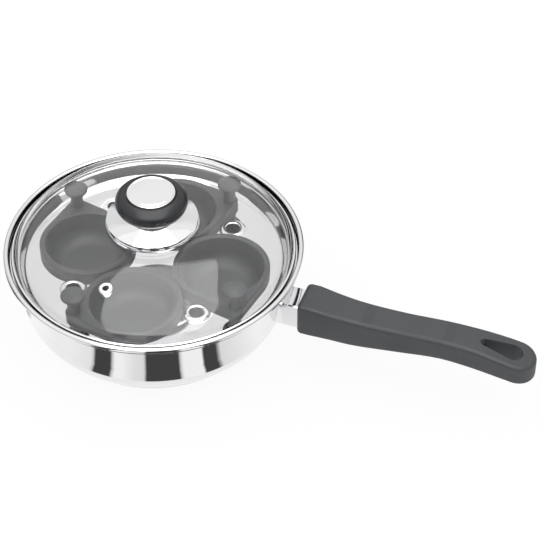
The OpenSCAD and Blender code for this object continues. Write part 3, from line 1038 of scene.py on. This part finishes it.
@dataclass
class Lid(SubAssembly):
    """The glass dome, its band, its eyelet and its knob. The dome's profile is a power curve."""

    body: str = "lid"
    band_r: float = 98.8
    band_z: float = 59.2
    dome_r: float = 97.8
    dome_z: float = 55.8
    rise: float = 30.3
    power: float = 2.6
    glass: float = 3.0
    eyelet_at: float = 68.5
    eyelet_turn: float = -95.2
    eyelet_hole_r: float = 3.45
    skirt_r: float = 32.4
    skirt_z: float = 85.5
    neck_z: float = 98.6
    ring_z: float = 104.3
    ring_w: float = 8.6
    knob_r: float = 24.8
    cap_r: float = 16.6
    cap_z: float = 111.6

    def height(self, r: float, wall: float = 0.0) -> float:
        """Returns the height of the dome over a radius, a wall's thickness under its outer face."""
        share = max(0.0, 1 - (r / (self.dome_r - wall)) ** self.power)
        return self.dome_z + (self.rise - wall) * share ** (1 / self.power)

    def _face(self, wall: float) -> list[Point]:
        """Returns the profile of one face of the glass, from the axis to its edge in the band.

        Args:
            wall: How far the face lies under the outer one, in millimetres.

        Returns:
            The profile's points.
        """
        edge = self.band_z + 0.6
        share = 1 - ((edge - self.dome_z) / (self.rise - wall)) ** self.power
        last = (self.dome_r - wall) * share ** (1 / self.power)
        reaches = [last * math.sin(math.radians(i)) for i in range(90)]
        return [*[(r, max(edge, self.height(r, wall))) for r in reaches], (last, edge)]

    def dome(self) -> bpy.types.Object:
        """Makes the glass, with the eyelet's hole cut.

        Returns:
            The piece.
        """
        profile = [*self._face(0), *reversed(self._face(self.glass))]
        piece = turn("dome", profile, steps=256, smooth=60)
        clear_selection()
        bpy.ops.mesh.primitive_cylinder_add(vertices=48, radius=self.eyelet_hole_r * MM, depth=20 * MM)
        drill = bpy.context.object
        settle(drill, self.eyelet_place())
        cut(piece, [drill], 60)
        return piece

    def eyelet_place(self) -> Matrix:
        """Works out the place of the eyelet, square to the glass.

        Returns:
            The place in metres.
        """
        slope = (self.height(self.eyelet_at - 1) - self.height(self.eyelet_at + 1)) / 2
        out = Matrix.Translation(Vector((self.eyelet_at, 0, self.height(self.eyelet_at))) * MM)
        return (Matrix.Rotation(math.radians(self.eyelet_turn), 4, "Z") @ out
                @ Matrix.Rotation(math.atan(slope), 4, "Y"))

    def band(self) -> bpy.types.Object:
        """Makes the steel band round the glass.

        Returns:
            The piece.
        """
        r, z = self.band_r, self.band_z
        return turn("rim_band", [
            (r - 3.8, z), (r - 0.6, z), *arc((r - 0.5, z + 0.5), 0.5, 0.5, -90, 0, 5),
            *arc((r - 1.3, z + 2.4), 1.3, 1.3, 0, 90, 12), (r - 1.6, z + 3.65), (r - 1.7, z + 3.4),
            (r - 1.1, z + 0.55), (r - 3.8, z + 0.55),
        ], steps=256, smooth=45)

    def eyelet(self) -> bpy.types.Object:
        """Makes the steam eyelet.

        Returns:
            The piece.
        """
        piece = turn("steam_eyelet", [
            (2.1, 0.4), *arc((2.7, 0.7), 0.6, 0.55, 180, 90, 6), (3.2, 1.22),
            *arc((3.9, 0.35), 0.9, 0.85, 90, 0, 8), (4.8, 0.06), (3.4, 0.06), (3.4, -4.4), (4.4, -4.4),
            (4.4, -5), (2.1, -5),
        ], steps=72, smooth=50)
        settle(piece, self.eyelet_place())
        return piece

    def flare(self, t: float) -> Point:
        """Returns the point of the saucer's upper face at t millimetres in from its crease."""
        return (self.skirt_r - 1 - t, self.skirt_z + 3.8 + 0.414 * t + 7.4e-5 * t ** 4)

    def skirt(self) -> bpy.types.Object:
        """Makes the flared saucer under the knob.

        Returns:
            The piece.
        """
        r, z, n = self.skirt_r, self.skirt_z, self.neck_z
        top = [self.flare(14.2 * i / 56) for i in range(57)]
        under = [(x, h - 1.0) for x, h in (self.flare(13.6 - 13.2 * i / 40) for i in range(41))]
        return turn("knob_saucer", [
            (r - 0.9, z), (r - 0.1, z), (r, z + 0.1), (r, z + 0.9), (r - 0.15, z + 1.8),
            (r - 0.33, z + 2.4), (r - 0.55, z + 2.95), (r - 0.8, z + 3.45), *top, (17.05, n), (3, n),
            (3, n - 0.9), (16.3, n - 0.9), *under, (r - 1.05, z + 2.5), (r - 0.95, z + 1.1),
        ], steps=192, smooth=28)

    def ring(self) -> bpy.types.Object:
        """Makes the dark ring of the knob.

        Returns:
            The piece.
        """
        n, w, r, z = self.neck_z, self.ring_w, self.cap_r, self.cap_z
        centre = (self.knob_r - w, self.ring_z)
        return turn("knob_ring", [
            (0, n), (17.0, n), (17.6, n - 0.3), (18.7, n - 1.1), *arc(centre, w, 8.4, -62, 0, 28),
            *arc(centre, w, 6.5, 0, 80, 24), (r + 0.4, z + 0.1), (r + 0.2, z - 1.6), (0, z - 1.6),
        ], steps=160, smooth=40)

    def cap(self) -> bpy.types.Object:
        """Makes the steel disc let into the knob.

        Returns:
            The piece.
        """
        r, z = self.cap_r, self.cap_z
        return turn("knob_disc", [
            (0, z - 1.55), (r - 0.3, z - 1.55), (r, z - 1.3), (r, z),
            *arc((r - 0.5, z), 0.5, 0.45, 0, 90, 6), (r - 1.2, z + 0.2),
            *arc((0, z - 0.2), r - 1.4, 1, 20, 90, 20),
        ], steps=128, smooth=40)

    def build(self, nodes: dict[str, bpy.types.Object]) -> None:
        """Builds and dresses the lid.

        Args:
            nodes: The frame's solids by name.
        """
        self.fit(self.dome(), "lid_glass", "lid_glass")
        self.fit(self.band(), "lid_band", "band_steel")
        self.fit(self.eyelet(), "vent_eyelet", "eyelet_steel")
        self.fit(self.skirt(), "knob_skirt", "skirt_steel")
        self.fit(self.ring(), "knob_grip", "knob_phenolic")
        self.fit(self.cap(), "knob_cap", "cap_steel")
        self.keep(nodes, "knob_gasket", "gasket_rubber")
        self.keep(nodes, "knob_screw", "screw_steel")
        self.keep(nodes, "knob_washer", "screw_steel")


# Studio


@dataclass
class Studio:
    """The white floor, the lights and the camera, in metres and degrees."""

    camera_distance: float = 1.4126
    camera_elevation: float = 42.93
    camera_azimuth: float = 19.5
    camera_right: float = 0.08055
    camera_up: float = -0.01644
    aim_height: float = 0.0625
    view_angle: float = 15.09
    floor_size: float = 12.0
    floor_drop: float = 0.0002
    floor_lit: float = 0.9
    cards_from: float = 0.0955
    cards_full: float = 0.0975
    card_tones: tuple[Point, ...] = (
        (-180, 0.86), (-172, 0.058), (-160, 0.058), (-152, 1), (-140, 1), (-128, 0.95), (-116, 0.95),
        (-103, 0.86), (-101.6, 0.058), (-92.2, 0.058), (-91, 1), (-86.5, 1), (-79, 0.82), (-74.6, 0.8),
        (-73.6, 0.058), (-55.6, 0.058), (-54.6, 0.98), (-43.4, 1), (-42.4, 0.058), (-34.2, 0.058),
        (-33.2, 0.78), (-24, 0.86), (-8, 1), (20, 0.9), (40, 1), (60, 0.058), (78, 0.058), (90, 1),
        (110, 0.86), (130, 0.058), (146, 1), (180, 0.86),
    )
    sky_tones: tuple[Point, ...] = (
        (-180, 0.75), (-150, 0.95), (-125, 1), (-100.5, 1), (-99.5, 0.05), (-90.5, 0.05), (-89.5, 1),
        (-75.5, 1), (-74.5, 0.05), (-60.5, 0.05), (-59.5, 1), (-46.5, 1), (-45.5, 0.05), (-36.5, 0.05),
        (-35.5, 1), (-10, 0.95), (30, 0.75), (75, 0.8), (109, 0.92), (140, 0.8), (180, 0.75),
    )
    panel_height: float = 2.5
    panel_light: float = 3.2
    panel_corners: tuple[Point, ...] = (
        (-0.37, 1.8), (-0.52, 1.45), (-0.66, 1.0), (-0.76, 0.55), (-0.95, 0.0), (-2.5, -3.7),
        (2.55, -3.7), (1.2, 0.0), (0.8, 0.75), (0.5, 1.8),
    )
    lamp_height: float = 2.4
    lamp_size: float = 3.0
    lamp_power: float = 4.0

    @staticmethod
    def _start_material(name: str) -> tuple[bpy.types.Material, bpy.types.NodeTree, Socket]:
        """Starts a bare material.

        Args:
            name: The material's name.

        Returns:
            The material, its tree and its Surface input.
        """
        material = bpy.data.materials.new(name)
        material.use_nodes = True
        tree = material.node_tree
        tree.nodes.clear()
        return material, tree, add_node(tree, "OutputMaterial").inputs["Surface"]

    def floor(self) -> None:
        """Lays a white floor that shows steel a ring of pale and dark cards."""
        clear_selection()
        bpy.ops.mesh.primitive_plane_add(size=self.floor_size, location=(0, 0, -self.floor_drop))
        plane = bpy.context.object
        plane.name = "studio_floor"
        material, tree, out = self._start_material("studio_floor")
        paint = add_node(tree, "BsdfDiffuse", Color=(0.95, 0.95, 0.95, 1))
        lit = add_node(tree, "Emission", Color=WHITE)
        seen = mix_shaders(tree, self.floor_lit, paint.outputs["BSDF"], lit.outputs["Emission"])
        cards = add_node(tree, "Emission", Color=self._cards(tree))
        path = add_node(tree, "LightPath")
        put(tree, mix_shaders(tree, path.outputs["Is Glossy Ray"], seen, cards.outputs["Emission"]), out)
        plane.data.materials.append(material)

    def _cards(self, tree: bpy.types.NodeTree) -> Socket:
        """Returns the floor's tone as steel shows it, plain under the pan and by angle round it.

        Args:
            tree: The floor's tree.

        Returns:
            The tone's output.
        """
        place = add_node(tree, "TexCoord").outputs["Object"]
        outside = add_node(tree, "MapRange", Value=length_of(tree, place), From_Min=self.cards_from,
                           From_Max=self.cards_full)
        tones = tones_round(tree, place, self.card_tones)
        return mix_colours(tree, outside.outputs["Result"], (0.93, 0.93, 0.93, 1), tones)

    def world(self) -> None:
        """Surrounds the pan with white light, and shows steel a sky with three dark panels."""
        world = bpy.data.worlds.new("studio")
        bpy.context.scene.world = world
        world.use_nodes = True
        tree = world.node_tree
        direction = add_node(tree, "TexCoord").outputs["Generated"]
        height = add_node(tree, "SeparateXYZ", Vector=direction).outputs["Z"]
        even = tree.nodes["Background"]
        from_above = add_node(tree, "MapRange", Value=height, To_Min=0.55, To_Max=1.35)
        put(tree, from_above.outputs["Result"], even.inputs["Color"])
        sky = add_node(tree, "Background", Color=self._sky_tone(tree, direction, height))
        seen = add_node(tree, "Background", Color=WHITE)
        path = add_node(tree, "LightPath")
        lit = mix_shaders(tree, path.outputs["Is Glossy Ray"], even.outputs["Background"],
                          sky.outputs["Background"])
        shown = mix_shaders(tree, path.outputs["Is Camera Ray"], lit, seen.outputs["Background"])
        put(tree, shown, tree.nodes["World Output"].inputs["Surface"])

    def _sky_tone(self, tree: bpy.types.NodeTree, direction: Socket, height: Socket) -> Socket:
        """Returns the sky's tone as steel shows it: panels by angle, pale above and dark at the horizon.

        Args:
            tree: The world's tree.
            direction: The direction that is looked in.
            height: The direction's upward part.

        Returns:
            The tone's output.
        """
        panels = tones_round(tree, direction, self.sky_tones)
        above = self._rising(tree, height, 34, 42)
        tone = mix_colours(tree, above, panels, (0.92, 0.92, 0.92, 1))
        off_horizon = self._rising(tree, height, 9, 15)
        return mix_colours(tree, off_horizon, (0.1, 0.1, 0.1, 1), tone)

    @staticmethod
    def _rising(tree: bpy.types.NodeTree, height: Socket, low: float, high: float) -> Socket:
        """Returns a mask that rises from 0 to 1 between two elevations in degrees.

        Args:
            tree: The world's tree.
            height: The direction's upward part.
            low: The elevation where it is 0.
            high: The elevation where it is 1.

        Returns:
            The mask's output.
        """
        rise = add_node(tree, "MapRange", Value=height, From_Min=math.sin(math.radians(low)),
                        From_Max=math.sin(math.radians(high)))
        return rise.outputs["Result"]

    def panel(self) -> None:
        """Hangs a broad ceiling panel, which the glass and the steel show as a window of light."""
        corners = [Vector((x, y, self.panel_height)) / MM for x, y in self.panel_corners]
        panel = draw_line("ceiling_panel", corners)
        bpy.ops.mesh.edge_face_add()
        turned = -math.radians(self.camera_azimuth)
        bpy.ops.transform.rotate(value=turned, orient_axis="Z", center_override=(0, 0, 0))
        bpy.ops.object.mode_set(mode="OBJECT")
        material, tree, out = self._start_material("ceiling_panel")
        clear = add_node(tree, "BsdfTransparent")
        glow = add_node(tree, "Emission", Strength=self.panel_light)
        path = add_node(tree, "LightPath")
        shown = mix_shaders(tree, path.outputs["Is Glossy Ray"], clear.outputs["BSDF"],
                            glow.outputs["Emission"])
        put(tree, shown, out)
        panel.data.materials.append(material)

    def softbox(self) -> None:
        """Hangs a soft lamp over the pan."""
        clear_selection()
        bpy.ops.object.light_add(type="AREA", location=(0, 0, self.lamp_height))
        lamp = bpy.context.object
        lamp.name = "softbox"
        lamp.data.size = self.lamp_size
        lamp.data.energy = self.lamp_power
        lamp.rotation_euler = Euler((0, 0, math.radians(self.camera_azimuth)))

    def camera(self) -> None:
        """Sets the camera where the photograph was taken from."""
        a, e = math.radians(self.camera_azimuth), math.radians(self.camera_elevation)
        back = Vector((math.sin(a) * math.cos(e), -math.cos(a) * math.cos(e), math.sin(e)))
        right = Vector((math.cos(a), math.sin(a), 0))
        up = back.cross(right)
        data = bpy.data.cameras.new("camera")
        data.sensor_width = 36
        data.lens = data.sensor_width / 2 / math.tan(math.radians(self.view_angle) / 2)
        data.clip_start = 0.05
        data.clip_end = 50
        camera = bpy.data.objects.new("camera", data)
        bpy.context.scene.collection.objects.link(camera)
        aim = Vector((0, 0, self.aim_height)) + right * self.camera_right + up * self.camera_up
        camera.location = aim + back * self.camera_distance
        camera.rotation_mode = "QUATERNION"
        camera.rotation_quaternion = Matrix((right, up, back)).transposed().to_quaternion()
        bpy.context.scene.camera = camera

    def build(self) -> None:
        """Builds the whole studio."""
        self.floor()
        self.world()
        self.panel()
        self.softbox()
        self.camera()
        bpy.context.scene.view_settings.view_transform = "Standard"
        log.info("studio: built")


def main() -> None:
    """Builds every sub-assembly in order."""
    logging.basicConfig(level=logging.INFO, format="%(message)s")
    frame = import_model()
    nodes = frame["nodes"]
    finishes = Finishes(ShaderGroups())
    Pan(finishes).build(nodes)
    Tray(finishes).build()
    Cups(finishes).build(nodes)
    Lid(finishes).build(nodes)
    Studio().build()


if __name__ == "__main__":
    main()
